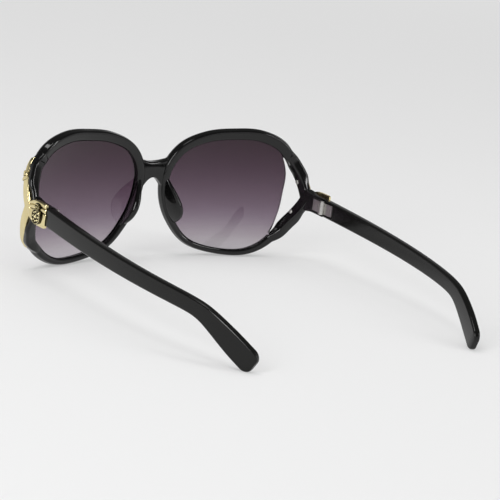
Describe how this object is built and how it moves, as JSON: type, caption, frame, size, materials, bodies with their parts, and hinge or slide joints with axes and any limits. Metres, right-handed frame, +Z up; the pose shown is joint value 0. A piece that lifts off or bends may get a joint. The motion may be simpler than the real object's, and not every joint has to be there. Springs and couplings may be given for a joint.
{
  "type": "sunglasses",
  "caption": "Oversized rounded sunglasses with forked side arms, cast metal trims, graduated tinted lenses and folding temples.",
  "frame": {"origin": "centre of the bounding box in X and Y, on the plane that the rims and the temple tips stand on", "axes": "+X towards the wearer's left, +Y from the lenses back along the temples, +Z up"},
  "size_m": [0.1548, 0.1656, 0.0606],
  "materials": {
    "frame": "polished black",
    "lens": "polished, graduated purple grey tint",
    "gold_trim": "polished gold plate",
    "antique_gold": "antiqued gold plate",
    "hinge_steel": "nickel plated"
  },
  "bodies": {
    "front": {"front_frame": "frame", "lens_left": "lens", "lens_right": "lens", "side_trim_left": "gold_trim", "side_trim_right": "gold_trim", "rosette_left": "antique_gold", "rosette_right": "antique_gold", "trim_rivets_left": "hinge_steel", "trim_rivets_right": "hinge_steel", "front_leaf_left": "hinge_steel", "front_leaf_right": "hinge_steel", "hinge_screw_left": "hinge_steel", "hinge_screw_right": "hinge_steel", "front_leaf_screws_left": "hinge_steel", "front_leaf_screws_right": "hinge_steel"},
    "left_temple": {"temple_left": "frame", "temple_leaf_left": "hinge_steel", "temple_leaf_screws_left": "hinge_steel"},
    "right_temple": {"temple_right": "frame", "temple_leaf_right": "hinge_steel", "temple_leaf_screws_right": "hinge_steel"}
  },
  "joints": [
    {"name": "left_fold", "type": "hinge", "parent": "front", "child": "left_temple", "pos_m": [0.07047, -0.04287, 0.02926], "axis": [0, 0.0344, 0.9994], "range_deg": [0, 90]},
    {"name": "right_fold", "type": "hinge", "parent": "front", "child": "right_temple", "pos_m": [-0.07047, -0.04287, 0.02926], "axis": [0, -0.0344, -0.9994], "range_deg": [0, 80]}
  ]
}
